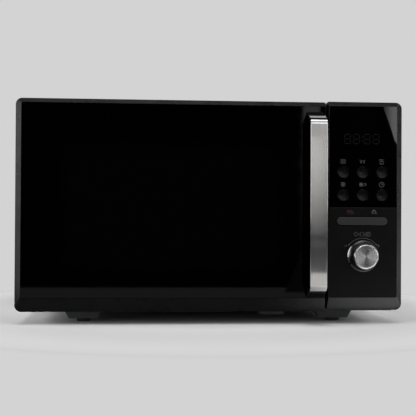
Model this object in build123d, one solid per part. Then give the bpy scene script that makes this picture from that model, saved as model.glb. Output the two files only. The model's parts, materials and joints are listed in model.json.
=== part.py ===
"""Countertop convection and grill microwave oven, in millimetres.

+Z is up, the front faces -Y, and X runs to the right as seen from the front.  The origin is at the
centre of the whole object's footprint, on the surface that the rubber feet stand on.
"""
import os

from build123d import *

# Overall size
WIDTH = 487.0
DEPTH = 450.0
HEIGHT = 282.0
STAND = 16.0  # door's lower edge above the table
SHEET = 1.0  # folded steel sheet
GAP = 0.3  # clearance between bodies that move on each other

# Depth planes, front to back
HANDLE_Y = -DEPTH / 2
FACE_Y = -194.0  # glass and fascia
BEVEL_Y = FACE_Y + 6.0  # where the front bevel meets the side
PANE_Y = FACE_Y + 3.0  # back of the door glass
LENS_Y = FACE_Y + 2.0  # back of the control panel's lens and fascia
WALL_Y = FACE_Y + 7.0  # back of the door's and the panel's front wall
DOOR_BACK_Y = -162.0
PLATE_Y = -160.0  # front of the cabinet's front plate
PLATE_BACK_Y = PLATE_Y + 1.2
REAR_Y = 203.0  # back of the cabinet

# Door and control panel, as seen from the front
DOOR_X = (-WIDTH / 2, 145.0)
DOOR_Z = (STAND, HEIGHT - 1.0)
PANEL_X = (147.0, WIDTH / 2)
PANEL_Z = (STAND + 1.5, HEIGHT)
SIDE_BEVEL = 7.3
TOP_BEVEL = 5.5
FOOT_BEVEL = 16.0  # the tall chamfer along the lower edge
RIM = 1.2  # narrow rim beside the gap between door and panel
RAIL = 15.5  # solid hinge rail of the door
MOULD = 3.0  # wall of the plastic mouldings

# Cabinet and oven cavity
CABINET_X = 240.0
CABINET_Z = (15.0, 280.0)
CAVITY_X = (-220.0, 120.0)
CAVITY_Y = (PLATE_BACK_Y, 150.0)
CAVITY_Z = (40.0, 256.0)
CAVITY_R = 10.0
OVEN_X = sum(CAVITY_X) / 2
OVEN_Z = sum(CAVITY_Z) / 2
WINDOW_X = (-205.0, 105.0)
WINDOW_Z = (50.0, 246.0)

# Door hinge, latch and handle
HINGE = (-235.5, -169.5)
PIN_R = 2.5
LATCH_X = 132.0
LATCH_Z = (90.0, 208.0)
HANDLE_X = (119.3, 140.4)
HANDLE_Z = (45.0, 256.0)
HANDLE_SPREAD = 12.0  # how far each leg slants outwards to the glass
HANDLE_BOW = 1.5

# Control panel
BUTTON_X = (166.8, 191.6, 216.5)
BUTTON_Z = (163.5, 192.5)
BUTTON_R = 6.9
BUTTON_SLEEVE = 7.3  # radius of the hole that a button slides in
LENS_Z = 147.5  # joint between the upper lens and the lower fascia
PILL = (191.2, 130.4)
PILL_SIZE = (65.0, 10.0)
KNOB = (192.0, 86.3)
KNOB_FACE_Y = FACE_Y - 20.0
SHAFT_R = 3.0

# Turntable
TABLE = (OVEN_X, -4.0)
TRAY_R = 140.0
WHEEL_R = 8.0
WHEEL_TRACK = 103.0
FLOOR_Z = CAVITY_Z[0]
WHEEL_Z = FLOOR_Z + GAP + WHEEL_R
TRAY_Z = WHEEL_Z + WHEEL_R + GAP

# Feet
FOOT_X = (-161.0, 164.0)
FOOT_Y = (-142.0, 165.0)
FOOT_R = 9.0
FOOT_HEIGHT = 4.0
BASE_Z = (14.0, 15.0)
BASE_FLANGE_Z = 28.0
BASE_REAR_Z = 24.0  # top of the base plate's rear flange
FOOT_WELL = (50.0, 40.0)  # at the base plate, narrowing downwards
WELL_TAPER = 30.0
WELL_R = 8.0

# Vent slots of the cabinet: centres are (y, z) on the sides, (x, z) on the back, (x, y) below
VENT_SLOT = (20.0, 3.5)
VENT_PITCH = (26.0, 9.0)
EXHAUST = (110.0, 222.0)
INTAKE = (-60.0, 75.0)
BASE_VENTS = (175.0, 90.0)
STEAM_OUTLET = (-200.0, 235.0)

# Microwave feed, in the cavity's right wall
FEED = (70.0, 158.0)  # y and z of the antenna
FEED_Y = (40.0, 100.0)
FEED_Z = (128.0, 188.0)
MAGNETRON_HALF = 40.0
ANODE_R = 19.0
ANTENNA_R = 7.0
FIN_COUNT = 6
FIN_PITCH = 7.5


def block(x, y, z):
    """A box between two limits on each axis."""
    size = [high - low for low, high in (x, y, z)]
    middle = [(high + low) / 2 for low, high in (x, y, z)]
    return Pos(*middle) * Box(*size)


def grow(limits, by):
    """Two limits moved apart, or together where by is negative."""
    return limits[0] - by, limits[1] + by


def outline(x, z, radii):
    """A rectangle seen from the front, with corner radii from the lower left, anticlockwise."""
    corners = [(x[0], z[0]), (x[1], z[0]), (x[1], z[1]), (x[0], z[1])]
    return make_face(FilletPolyline(*corners, radius=radii, close=True))


def at_depth(face, y):
    """A front-view drawing moved to a depth."""
    return Plane.XZ.offset(-y) * face


def slab(face, y):
    """A front-view drawing thickened between two depths."""
    return extrude(at_depth(face, y[1]), y[1] - y[0])


def rounded_slab(x, y, z, radius):
    """A flat plate that faces the front, with four equal corner radii."""
    return slab(outline(x, z, [radius] * 4), y)


def rod(point, axis, length, radius):
    """A cylinder that starts at a point and runs along X, Y or Z; a negative length runs back."""
    turn = {"X": Rot(0, 90, 0), "Y": Rot(-90, 0, 0), "Z": Rot(0, 0, 0)}[axis]
    cylinder = Cylinder(radius, abs(length))
    return Pos(*point) * turn * Pos(0, 0, length / 2) * cylinder


def spun(points, centre, turn=Rot(0, 0, 0)):
    """A (radius, height) outline turned about a vertical axis, then tipped by turn."""
    face = make_face(Polyline(*points, close=True))
    return Pos(*centre) * turn * revolve(Plane.XZ * face, axis=Axis.Z)


def round_front(piece, radius):
    """A piece with the rim of its front face rounded."""
    return fillet(piece.faces().sort_by(Axis.Y)[0].edges(), radius)


def round_back(piece, radius):
    """A piece with the rim of its rear face rounded."""
    return fillet(piece.faces().sort_by(Axis.Y)[-1].edges(), radius)


def slot_grid(columns, rows, pitch, length, width, upright=False):
    """A grid of rounded slots about the origin of a drawing."""
    turn = 90 if upright else 0
    cells = GridLocations(pitch[0], pitch[1], columns, rows)
    return Sketch() + [place * SlotOverall(length, width, rotation=turn) for place in cells]


def vent_grid(columns, rows):
    """The cabinet's usual pattern of vent slots."""
    return slot_grid(columns, rows, VENT_PITCH, *VENT_SLOT)


def front_slots(grid, centre, y):
    """Slot cutters through a wall that faces front or back."""
    return slab(Pos(centre[0], centre[1]) * grid, y)


def side_slots(grid, centre, x):
    """Slot cutters through a wall that faces left or right."""
    return extrude(Plane.YZ.offset(x[0]) * Pos(centre[0], centre[1]) * grid, x[1] - x[0])


def radial_slots(count, radius, length, width):
    """Rounded slots that point to the centre of the cavity's rear wall."""
    places = PolarLocations(radius, count)
    return Sketch() + [place * SlotOverall(length, width) for place in places]


def bevelled_casing(x, z, face_x, face_z, outer_radii, face_radii, back_y):
    """A front moulding: straight sides, then a bevel in to the flat face."""
    outer = outline(x, z, outer_radii)
    face = outline(face_x, face_z, face_radii)
    bevel = loft([at_depth(outer, BEVEL_Y), at_depth(face, FACE_Y)], ruled=True)
    return slab(outer, (BEVEL_Y, back_y)) + bevel


# ---------------------------------------------------------------- cabinet


def cabinet_wrap():
    """Folded sheet that forms the left side, the top and the right side, with a rear flange."""
    x, z = (-CABINET_X, CABINET_X), CABINET_Z
    outside = outline(x, z, [0.4, 0.4, 6, 6])
    inside = outline(grow(x, -SHEET), (z[0] - 5, z[1] - SHEET), [0.4, 0.4, 5, 5])
    flange = outline(grow(x, -12), (z[0] - 5, z[1] - 12), [0.4, 0.4, 4, 4])
    shell = slab(outside - inside, (PLATE_Y, REAR_Y)) + slab(outside - flange, (REAR_Y, REAR_Y + SHEET))
    exhaust = side_slots(vent_grid(6, 5), EXHAUST, (-CABINET_X - 5, -CABINET_X + 5))
    intake = side_slots(vent_grid(5, 7), INTAKE, (CABINET_X - 5, CABINET_X + 5))
    return shell - exhaust - intake


def well(x, y, size, depth):
    """A tapered dimple pressed down into the base plate."""
    def plug(top, width, length, height):
        face = Plane.XY.offset(top) * Pos(x, y) * RectangleRounded(width, length, WELL_R)
        return extrude(face, -height, taper=WELL_TAPER)

    outside = plug(BASE_Z[1], size[0], size[1], depth + SHEET)
    inside = plug(BASE_Z[1] + SHEET, size[0], size[1], depth + SHEET)
    return outside, inside


def base_plate():
    """Bottom sheet with upturned flanges, foot wells, a stiffening dimple and vent slots."""
    edge = CABINET_X - SHEET - 0.2
    back = REAR_Y - 1.4
    plate = block((-edge, edge), (PLATE_BACK_Y, back), BASE_Z)
    for x in ((-edge, -edge + SHEET), (edge - SHEET, edge)):
        plate += block(x, (PLATE_BACK_Y, back), (BASE_Z[0], BASE_FLANGE_Z))
    plate += block((-edge, edge), (back - SHEET, back), (BASE_Z[0], BASE_REAR_Z))
    depth = BASE_Z[0] - FOOT_HEIGHT
    wells = [well(x, y, FOOT_WELL, depth) for x in FOOT_X for y in (FOOT_Y[0] + 5, FOOT_Y[1])]
    wells.append(well(83, -138, (38, 38), 5.5))
    wells.append(well(-20, -128, (100, 56), 1.8))
    for outside, inside in wells:
        plate = plate + outside - inside
    return plate - extrude(Plane.XY.offset(BASE_Z[0] - 4) * Pos(*BASE_VENTS) * vent_grid(5, 6), 10)


def rubber_feet():
    """Four slightly tapered rubber pads under the foot wells."""
    pad = [(0, 0), (FOOT_R - 0.8, 0), (FOOT_R, 0.8), (FOOT_R, FOOT_HEIGHT), (0, FOOT_HEIGHT)]
    return [spun(pad, (x, y, 0)) for x in FOOT_X for y in FOOT_Y]


COVER_X = (OVEN_X - 85, OVEN_X + 85)
COVER_Z = (OVEN_Z - 80, OVEN_Z + 80)
FAN = (182.0, 158.0)
FAN_BORE = 48.0
GLAND = (214.0, 44.0)


def rear_panel():
    """Rear sheet with the fan's intake slots, the steam outlet and the motor's opening."""
    edge = CABINET_X - SHEET - 0.2
    y = (REAR_Y - 1.2, REAR_Y - 0.2)
    panel = slab(outline((-edge, edge), (CABINET_Z[0], CABINET_Z[1] - SHEET - 0.2), [0.4, 0.4, 5, 5]), y)
    cut = grow(y, 2)
    motor = rounded_slab((OVEN_X - 38, OVEN_X + 38), cut, (OVEN_Z - 38, OVEN_Z + 38), 8)
    intake = front_slots(slot_grid(4, 11, (22, 8), 17, 3.5), FAN, cut)
    steam = front_slots(vent_grid(2, 5), STEAM_OUTLET, cut)
    gland = front_slots(SlotOverall(20, 14), GLAND, cut)
    return panel - motor - intake - steam - gland


def convection_cover():
    """Raised vented cover over the convection motor, which also keeps the oven off the wall."""
    y = (REAR_Y - 0.2, DEPTH / 2)
    box = round_back(rounded_slab(COVER_X, y, COVER_Z, 14), 5)
    inside = rounded_slab(grow(COVER_X, -SHEET), (y[0] - 1, y[1] - SHEET), grow(COVER_Z, -SHEET), 13)
    inside = round_back(inside, 4)
    flange = rounded_slab(grow(COVER_X, 9), (y[0], y[0] + SHEET), grow(COVER_Z, 9), 14)
    vents = front_slots(slot_grid(5, 11, (28, 10), 22, 4), (OVEN_X, OVEN_Z), (y[1] - 5, y[1] + 5))
    return flange + box - inside - vents


def cord_gland():
    """Oval bush in the rear panel where a mains lead would enter."""
    def oval(length, width, y):
        return front_slots(SlotOverall(length, width), GLAND, y)

    outside = oval(24, 18, (REAR_Y - 0.2, REAR_Y + 5)) + oval(19.6, 13.6, (REAR_Y - 8, REAR_Y))
    return outside - oval(11, 7, (REAR_Y - 10, REAR_Y + 8))


def cabinet_screws():
    """Pan-head screws that hold the wrap's rear flange to the rear panel."""
    places = [(x, z) for x in (-235.0, 235.0) for z in (40.0, 150.0, 250.0)]
    places += [(x, 274.0) for x in (-140.0, 40.0, 160.0)]
    head = [(0, -8), (1.9, -8), (1.9, 0), (4, 0), (3.6, 1.6), (2.4, 2.2), (0, 2.2)]
    return [spun(head, (x, REAR_Y + SHEET, z), Rot(-90, 0, 0)) for x, z in places]


# ---------------------------------------------------------------- oven cavity


def front_plate():
    """Flat plate around the cavity mouth, which the door closes against."""
    edge = CABINET_X - SHEET - 0.2
    y = (PLATE_Y, PLATE_BACK_Y)
    plate = slab(outline((-edge, edge), (CABINET_Z[0], CABINET_Z[1] - SHEET - 0.2), [0.4, 0.4, 5, 5]), y)
    plate -= rounded_slab(CAVITY_X, grow(y, 1), CAVITY_Z, CAVITY_R)
    for z in LATCH_Z:
        plate -= block((LATCH_X - 7, LATCH_X + 8), grow(y, 1), (z - 11, z + 12))
    return plate - block((156, 228), grow(y, 1), (66, 262))


GRILL_Z = 248.0
GRILL_R = 3.5
GRILL_Y = (-70.0, -25.0, 20.0, 65.0)


def oven_cavity():
    """Welded cavity box, open at the front, with its feed opening, fan slots and vents."""
    shell = rounded_slab(
        grow(CAVITY_X, SHEET), (CAVITY_Y[0], CAVITY_Y[1] + SHEET), grow(CAVITY_Z, SHEET), CAVITY_R + SHEET
    )
    shell -= rounded_slab(CAVITY_X, (CAVITY_Y[0] - 1, CAVITY_Y[1]), CAVITY_Z, CAVITY_R)
    rear = (CAVITY_Y[1] - 2, CAVITY_Y[1] + 3)
    shell -= front_slots(radial_slots(16, 34, 30, 4), (OVEN_X, OVEN_Z), rear)
    shell -= front_slots(radial_slots(28, 84, 14, 4), (OVEN_X, OVEN_Z), rear)
    right = (CAVITY_X[1] - 2, CAVITY_X[1] + 3)
    shell -= block(right, FEED_Y, FEED_Z)
    shell -= side_slots(slot_grid(4, 4, (8, 7), 6, 3), (128, 226), right)
    shell -= side_slots(slot_grid(5, 3, (18, 9), 14, 3.5), (95, 225), (CAVITY_X[0] - 3, CAVITY_X[0] + 2))
    for y in (GRILL_Y[0], GRILL_Y[-1]):
        shell -= rod((CAVITY_X[1] - 2, y, GRILL_Z), "X", 6, GRILL_R + 0.2)
    return shell - rod((*TABLE, FLOOR_Z - 3), "Z", 6, 8)


def waveguide_cover():
    """Mica sheet over the feed opening, on the cavity's right wall."""
    x = (CAVITY_X[1] - 1, CAVITY_X[1])
    return block(x, grow(FEED_Y, 8), grow(FEED_Z, 8))


def waveguide():
    """Sheet channel that leads from the magnetron's antenna to the feed opening."""
    wall = CAVITY_X[1] + SHEET
    y, z = grow(FEED_Y, 14), (104.0, 204.0)
    channel = block((wall, wall + 30), y, z) - block((wall - 1, wall + 29), grow(y, -1), grow(z, -1))
    return channel - side_slots(SlotOverall(20, 16), FEED, (wall + 25, wall + 35))


def magnetron():
    """Magnetron: anode with its antenna, cooling fins, magnet yoke and filter box."""
    front = CAVITY_X[1] + SHEET + 30
    y, z = (grow((centre, centre), MAGNETRON_HALF) for centre in FEED)
    yoke = block((front, front + 56), y, z) - block((front + 2, front + 54), grow(y, 1), grow(z, -2))
    body = yoke + rod((front + 1, *FEED), "X", 54, ANODE_R) + rod((front - 20, *FEED), "X", 22, ANTENNA_R)
    for step in range(FIN_COUNT):
        x = front + 8 + FIN_PITCH * step
        body += block((x, x + 0.8), grow(y, -3), grow(z, -2))
    return body + block((front + 56, front + 82), grow(y, -10), grow(z, -8))


def oven_lamp():
    """Small bulb in a moulded holder behind the lamp vents."""
    wall = CAVITY_X[1] + SHEET
    holder = block((wall + 16, wall + 36), (116, 140), (214, 238))
    return holder + rod((wall + 17, 128, 226), "X", -14, 8)


def grill_element():
    """Sheathed heating rod in three passes below the cavity's ceiling."""
    left, right, near = CAVITY_X[0] + 30, CAVITY_X[1] + 12, CAVITY_X[1] - 40
    first, second, third, fourth = GRILL_Y
    points = [(right, first), (left, first), (left, second), (near, second), (near, third)]
    points += [(left, third), (left, fourth), (right, fourth)]
    path = Plane.XY.offset(GRILL_Z) * FilletPolyline(*points, radius=21)
    start = Plane(origin=(right, first, GRILL_Z), z_dir=(-1, 0, 0))
    return sweep(start * Circle(GRILL_R), path=path)


DRUM_R = 100.0
DRUM_Y = (CAVITY_Y[1] + SHEET, CAVITY_Y[1] + 36)
ROTOR_Y = CAVITY_Y[1] + 10


def convection_housing():
    """Pressed drum on the back of the cavity, around the fan and the ring heater."""
    depth = DRUM_Y[1] - DRUM_Y[0]
    drum = round_back(rod((OVEN_X, DRUM_Y[0], OVEN_Z), "Y", depth, DRUM_R), 6)
    drum += rod((OVEN_X, DRUM_Y[0], OVEN_Z), "Y", SHEET, DRUM_R + 6)
    drum -= round_back(rod((OVEN_X, DRUM_Y[0] - 1, OVEN_Z), "Y", depth, DRUM_R - SHEET), 5)
    return drum - rod((OVEN_X, DRUM_Y[1] - 5, OVEN_Z), "Y", 10, 5)


def convection_heater():
    """Ring heater around the convection fan."""
    return Pos(OVEN_X, DRUM_Y[0] + 18, OVEN_Z) * Rot(90, 0, 0) * Torus(84, 3.5)


def convection_motor():
    """Motor behind the drum, with a blind bore for the fan's shaft."""
    y = DRUM_Y[1]
    body = rod((OVEN_X, y + 2, OVEN_Z), "Y", 32, 30) + rod((OVEN_X, y, OVEN_Z), "Y", 3, 12)
    body += block((OVEN_X - 36, OVEN_X + 36), (y + 2, y + 4), (OVEN_Z - 8, OVEN_Z + 8))
    return body - rod((OVEN_X, y - 1, OVEN_Z), "Y", 20, SHAFT_R + 0.05)


def convection_fan():
    """Steel disc with bent radial blades, on its shaft."""
    rotor = rod((OVEN_X, ROTOR_Y, OVEN_Z), "Y", SHEET, 62) + rod((OVEN_X, ROTOR_Y - 4, OVEN_Z), "Y", 10, 9)
    rotor += rod((OVEN_X, ROTOR_Y, OVEN_Z), "Y", DRUM_Y[1] + 16 - ROTOR_Y, SHAFT_R)
    for place in PolarLocations(40, 8):
        blade = Pos(0, 0, 6) * Box(44, SHEET, 13)
        rotor += Pos(OVEN_X, ROTOR_Y + 1, OVEN_Z) * Rot(-90, 0, 0) * place * blade
    return rotor


# ---------------------------------------------------------------- turntable


def turntable_motor():
    """Flat synchronous motor under the cavity floor, with a blind bore for the coupler."""
    body = Pos(*TABLE, FLOOR_Z - SHEET - 8) * Cylinder(25, 16)
    ears = grow((TABLE[0], TABLE[0]), 33), grow((TABLE[1], TABLE[1]), 7)
    body += block(*ears, (FLOOR_Z - 2, FLOOR_Z - SHEET))
    return body - rod((*TABLE, FLOOR_Z - SHEET - 12), "Z", 14, SHAFT_R + 0.55)


def turntable_coupler():
    """Three-lobed drive hub on the motor's shaft, under the tray."""
    hub = rod((*TABLE, FLOOR_Z + 3), "Z", TRAY_Z - FLOOR_Z - 3, 9)
    for place in PolarLocations(10, 3):
        hub += Pos(*TABLE, TRAY_Z - 4) * place * Box(14, 6, 8)
    return hub + rod((*TABLE, FLOOR_Z - SHEET - 11), "Z", 16, SHAFT_R + 0.5)


def glass_tray():
    """Round glass tray with a raised rim."""
    edge, rim = TRAY_R, TRAY_Z + 14
    points = [(0, TRAY_Z), (edge - 14, TRAY_Z), (edge - 3, rim - 4), (edge, rim - 2), (edge, rim)]
    points += [(edge - 4, rim), (edge - 16, TRAY_Z + 4), (0, TRAY_Z + 4)]
    return spun(points, (*TABLE, 0))


RING_R = (92.0, 98.0)
AXLE_R = 2.0
WHEEL_WIDTH = 8.0


def on_track(angle, piece):
    """A piece made along +X, turned to its place on the roller ring."""
    return Pos(*TABLE, WHEEL_Z) * Rot(0, 0, angle) * piece


def roller_ring():
    """Plastic ring that carries three wheels on stub axles."""
    band = Cylinder(RING_R[1], 8) - Cylinder(RING_R[0], 9)
    ring = Pos(*TABLE, WHEEL_Z) * band
    reach = WHEEL_TRACK + WHEEL_WIDTH / 2 + 0.5 - RING_R[1]
    for angle in (90, 210, 330):
        ring += on_track(angle, rod((RING_R[1] - 1, 0, 0), "X", reach + 1, AXLE_R))
        ring += on_track(angle, rod((RING_R[1] + reach, 0, 0), "X", 1.5, 3.2))
    return ring


def wheel(angle):
    """One roller wheel, with running clearance on its axle."""
    start = WHEEL_TRACK - WHEEL_WIDTH / 2
    tyre = rod((start, 0, 0), "X", WHEEL_WIDTH, WHEEL_R)
    return on_track(angle, tyre - rod((start - 1, 0, 0), "X", WHEEL_WIDTH + 2, AXLE_R + 0.06))


# ---------------------------------------------------------------- component bay


CORE_X = (158.0, 218.0)
CORE_Y = (-118.0, -22.0)
CORE_Z = (CABINET_Z[0], 93.0)
CORE_LEG = 14.0  # outer legs and yokes; the middle leg is twice as wide
COIL_GAP = 0.5


def transformer_core():
    """Laminated core of the high-voltage transformer."""
    window = (CORE_Y[1] - CORE_Y[0] - 4 * CORE_LEG) / 2
    core = block(CORE_X, CORE_Y, CORE_Z)
    for y in (CORE_Y[0] + CORE_LEG, CORE_Y[1] - CORE_LEG - window):
        core -= block(grow(CORE_X, 8), (y, y + window), grow(CORE_Z, -CORE_LEG))
    return core


def transformer_windings():
    """Primary and secondary coils around the core's middle leg."""
    coils = []
    low, high = grow(CORE_Z, -CORE_LEG - COIL_GAP)
    middle = (low + high) / 2
    outside = grow(CORE_X, 15), grow(CORE_Y, -CORE_LEG - COIL_GAP)
    centre = sum(CORE_Y) / 2
    leg = grow(CORE_X, COIL_GAP), grow((centre, centre), CORE_LEG + COIL_GAP)
    for z in ((low, middle - COIL_GAP), (middle + COIL_GAP, high)):
        coil = block(*outside, z) - block(*leg, grow(z, 1))
        coils.append(fillet(coil.edges().filter_by(Axis.Z).group_by(Axis.X)[0], 8))
    return coils


CAPACITOR = (178.0, 33.0)
CAPACITOR_Y = (20.0, 112.0)


def capacitor():
    """Oval high-voltage capacitor with two terminals."""
    can = slab(Pos(*CAPACITOR) * SlotOverall(52, 34), CAPACITOR_Y)
    for x in grow((CAPACITOR[0], CAPACITOR[0]), 10):
        can += rod((x, CAPACITOR_Y[0] + 1, CAPACITOR[1]), "Y", -10, 3)
    return can


FAN_HALF = 50.0
SHROUD_Y = (177.0, REAR_Y - 1.2)
FAN_MOTOR_Y = (138.0, 160.0)
FAN_BLADE_Y = 186.0


def cooling_fan_shroud():
    """Moulded square duct around the cooling fan."""
    x, z = (grow((centre, centre), FAN_HALF) for centre in FAN)
    return block(x, SHROUD_Y, z) - rod((FAN[0], SHROUD_Y[0] - 1, FAN[1]), "Y", 40, FAN_BORE)


def cooling_fan_motor():
    """Shaded-pole fan motor on a bracket across the shroud."""
    back = FAN_MOTOR_Y[1]
    stack = block((FAN[0] - 22, FAN[0] + 22), FAN_MOTOR_Y, (FAN[1] - 22, FAN[1] + 22))
    coil = block((FAN[0] - 13, FAN[0] + 13), grow(FAN_MOTOR_Y, 6), (FAN[1] - 36, FAN[1] - 20))
    arm_z = (FAN[1] - 8, FAN[1] + 8)
    bracket = block((FAN[0] - FAN_HALF, FAN[0] + FAN_HALF), (back, back + 2), arm_z)
    for x in ((FAN[0] - FAN_HALF, FAN[0] - 48), (FAN[0] + 48, FAN[0] + FAN_HALF)):
        bracket += block(x, (back, SHROUD_Y[0]), arm_z)
    body = stack + coil + bracket
    return body - rod((FAN[0], FAN_MOTOR_Y[0] + 7, FAN[1]), "Y", 25, SHAFT_R + 0.05)


def cooling_fan_blades():
    """Six-bladed plastic fan on its shaft."""
    hub = rod((FAN[0], FAN_BLADE_Y - 8, FAN[1]), "Y", 14, 12)
    rotor = hub + rod((FAN[0], FAN_MOTOR_Y[0] + 8, FAN[1]), "Y", 34, SHAFT_R)
    for place in PolarLocations(27, 6):
        blade = Rot(32, 0, 0) * Box(34, 22, 1.6)
        rotor += Pos(FAN[0], FAN_BLADE_Y, FAN[1]) * Rot(-90, 0, 0) * place * blade
    return rotor


FILTER_Z = (232.0, 233.6)
FILTER_CHOKE = (180.0, 68.0)


def noise_filter():
    """Mains filter board with its choke and capacitors, above the magnetron."""
    board = block((162, 234), (45, 135), FILTER_Z)
    choke = Cylinder(12, 18) - Cylinder(6, 20)
    board += Pos(*FILTER_CHOKE, FILTER_Z[0] + 10) * choke
    for x, y in ((208, 65), (208, 95), (178, 105)):
        board += block((x - 6, x + 14), (y - 5, y + 5), (FILTER_Z[0] + 1, 250))
    return board


THERMOSTATS = ((-60.0, 190.0), (-60.0, 120.0))
SWITCH_Z = (90.0, 130.0, 208.0)


def thermal_cutouts():
    """Two disc thermostats on the cavity's outer wall."""
    wall = CAVITY_X[1] + SHEET
    return [
        rod((wall, y, z), "X", 9, 9) + block((wall, wall + 1), (y - 14, y + 14), (z - 4, z + 4))
        for y, z in THERMOSTATS
    ]


def latch_board():
    """Moulded interlock holder behind the front plate, with pockets for the two hooks."""
    holder = block((LATCH_X - 9, LATCH_X + 14), (PLATE_BACK_Y, -122), (LATCH_Z[0] - 16, LATCH_Z[1] + 18))
    for z in LATCH_Z:
        holder -= block((LATCH_X - 7, LATCH_X + 8), (PLATE_BACK_Y - 1, -130), (z - 11, z + 12))
    return holder


def microswitches():
    """Three interlock switches on the latch board."""
    x = (LATCH_X + 14, LATCH_X + 24.5)
    return [block(x, (-156, -128), (z - 8, z + 8)) for z in SWITCH_Z]


# ---------------------------------------------------------------- control panel

PANEL_FACE_X = (PANEL_X[0] + RIM, PANEL_X[1] - SIDE_BEVEL)
PANEL_FACE_Z = (PANEL_Z[0] + FOOT_BEVEL, PANEL_Z[1] - TOP_BEVEL)
DISPLAY_X = (160.0, 222.0)
DISPLAY_Z = (222.0, 247.0)
BOARD_Y = (-177.0, -175.4)


def button_places():
    """Centres of the six round buttons, lower row first."""
    return [(x, z) for z in BUTTON_Z for x in BUTTON_X]


def pill_shape(extra):
    """The rocker's rounded outline, larger all round by extra."""
    return Pos(*PILL) * SlotOverall(PILL_SIZE[0] + 2 * extra, PILL_SIZE[1] + 2 * extra)


def button_holes(y):
    """Cutters for the six buttons."""
    return [rod((x, y[0], z), "Y", y[1] - y[0], BUTTON_SLEEVE) for x, z in button_places()]


def control_housing():
    """Moulded control panel body: bevelled outside, open at the back."""
    casing = bevelled_casing(
        PANEL_X, PANEL_Z, PANEL_FACE_X, PANEL_FACE_Z, [1.5, 8, 8, 2.5], [0.8, 2.5, 2.5, 0.8], PLATE_Y
    )
    casing -= block(grow(PANEL_X, -MOULD), (WALL_Y, PLATE_Y + 1), grow(PANEL_Z, -MOULD))
    recess = (FACE_Y - 1, LENS_Y)
    casing -= rounded_slab(grow(PANEL_FACE_X, -0.2), recess, grow(PANEL_FACE_Z, -0.2), 1.6)
    through = (LENS_Y - 1, WALL_Y + 1)
    for hole in button_holes(through):
        casing -= hole
    casing -= slab(pill_shape(0.6), through)
    casing -= block(grow(DISPLAY_X, 0.6), through, grow(DISPLAY_Z, 0.6))
    return casing - rod((KNOB[0], through[0], KNOB[1]), "Y", 10, 5)


def display_lens():
    """Upper glossy lens, with the holes that the buttons pass through."""
    y = (FACE_Y, LENS_Y)
    lens = rounded_slab(grow(PANEL_FACE_X, -0.3), y, (LENS_Z, PANEL_FACE_Z[1] - 0.3), 1.6)
    for hole in button_holes(grow(y, 1)):
        lens -= hole
    return lens


def lower_fascia():
    """Lower matt fascia, with the rocker's slot and the knob shaft's hole."""
    y = (FACE_Y, LENS_Y)
    fascia = rounded_slab(grow(PANEL_FACE_X, -0.3), y, (PANEL_FACE_Z[0] + 0.3, LENS_Z - 0.2), 1.6)
    return fascia - slab(pill_shape(0.6), grow(y, 1)) - rod((KNOB[0], y[0] - 1, KNOB[1]), "Y", 6, 5)


def button(x, z):
    """One dished push button: cap, retaining flange and plunger."""
    cap = rod((x, FACE_Y - 0.5, z), "Y", WALL_Y + GAP + 1.5 - FACE_Y, BUTTON_R)
    cap = round_front(cap, 0.6)
    cap -= Pos(x, FACE_Y - 0.5 - 39.2, z) * Sphere(40)
    cap += rod((x, WALL_Y + GAP, z), "Y", 1.4, BUTTON_R + 1.4)
    return cap + rod((x, WALL_Y, z), "Y", 7, 2.5)


def rocker():
    """Long pill-shaped rocker that tips to the left or to the right."""
    cap = slab(pill_shape(0), (FACE_Y - 0.9, WALL_Y + 2))
    cap = round_front(cap, 0.7)
    return cap + slab(pill_shape(1.4), (WALL_Y + 1, WALL_Y + 2.3))


def display_module():
    """Four-digit light-emitting display behind the lens."""
    return block(DISPLAY_X, (LENS_Y + 0.2, BOARD_Y[0]), DISPLAY_Z)


def control_board():
    """Control circuit board with a key switch behind each button and the rocker's ends."""
    board = block((152, 237), BOARD_Y, (58, 272))
    switches = button_places() + [(PILL[0] - 25, PILL[1]), (PILL[0] + 25, PILL[1])]
    for x, z in switches:
        board += block((x - 3, x + 3), (BOARD_Y[0] - 1.8, BOARD_Y[0]), (z - 3, z + 3))
    board += block((165, 215), (BOARD_Y[1], BOARD_Y[1] + 12), (225, 262))
    return board - rod((KNOB[0], BOARD_Y[0] - 1, KNOB[1]), "Y", 4, 3.6)


def encoder_body():
    """Rotary encoder with its threaded bush."""
    x, z = grow((KNOB[0], KNOB[0]), 7), grow((KNOB[1], KNOB[1]), 7)
    body = block(x, (WALL_Y + 1, BOARD_Y[0]), z) + rod((KNOB[0], LENS_Y, KNOB[1]), "Y", 7, 4.6)
    return body - rod((KNOB[0], LENS_Y - 1, KNOB[1]), "Y", 14, SHAFT_R + 0.05)


def encoder_shaft():
    """Steel shaft that carries the knob."""
    return rod((KNOB[0], LENS_Y + 11, KNOB[1]), "Y", KNOB_FACE_Y + 6 - (LENS_Y + 11), SHAFT_R)


def knob_skirt():
    """Polished knob body: a flared foot that narrows to a straight barrel."""
    foot = FACE_Y - 0.8
    height = foot - KNOB_FACE_Y
    flare = Spline((20, 1.2), (17.6, 4.6), (16.2, 9.0), (15.6, height - 1.4))
    barrel = Polyline(
        (15.6, height - 1.4), (14.8, height - 0.6), (14.4, height - 0.6), (14.4, height - 2.4),
        (SHAFT_R + 0.1, height - 2.4), (SHAFT_R + 0.1, 0), (19.2, 0), (20, 1.2),
    )
    body = revolve(Plane.XZ * make_face([*flare.edges(), *barrel.edges()]), axis=Axis.Z)
    return Pos(KNOB[0], foot, KNOB[1]) * Rot(90, 0, 0) * body


def knob_cap():
    """Spun aluminium disc let into the knob's front."""
    return round_front(rod((KNOB[0], KNOB_FACE_Y, KNOB[1]), "Y", 2.2, 14.2), 0.5)


# ---------------------------------------------------------------- door

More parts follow.
